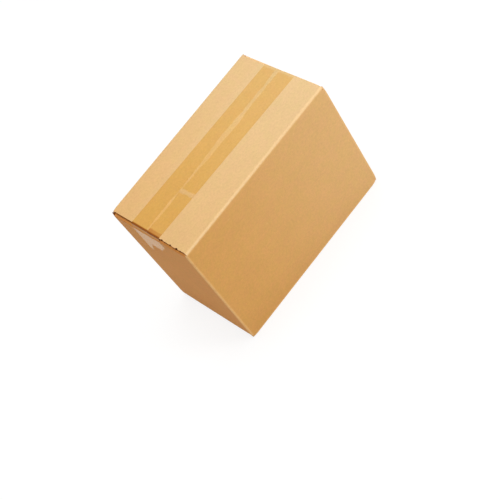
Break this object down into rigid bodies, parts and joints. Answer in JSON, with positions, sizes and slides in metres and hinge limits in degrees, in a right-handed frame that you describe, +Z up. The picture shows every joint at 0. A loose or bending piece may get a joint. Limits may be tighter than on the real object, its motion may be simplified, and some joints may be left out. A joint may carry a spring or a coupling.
{
  "type": "closed cardboard carton",
  "caption": "Oblong corrugated cardboard shipping carton, flaps folded shut and sealed top and bottom with packing tape.",
  "frame": {"origin": "middle of the resting face, which is the underside of the bottom tape", "axes": "+Z up, +X along the length towards the end with the glued corner joint, +Y along the width"},
  "size_m": [0.2502, 0.13, 0.1902],
  "materials": {
    "kraft_board": "matt natural kraft paper liner, finely mottled",
    "packing_tape": "clear film over kraft board, amber where it has stuck down"
  },
  "bodies": {
    "root": {"carton": "kraft_board", "top_tape": "packing_tape", "bottom_tape": "packing_tape"}
  },
  "joints": []
}
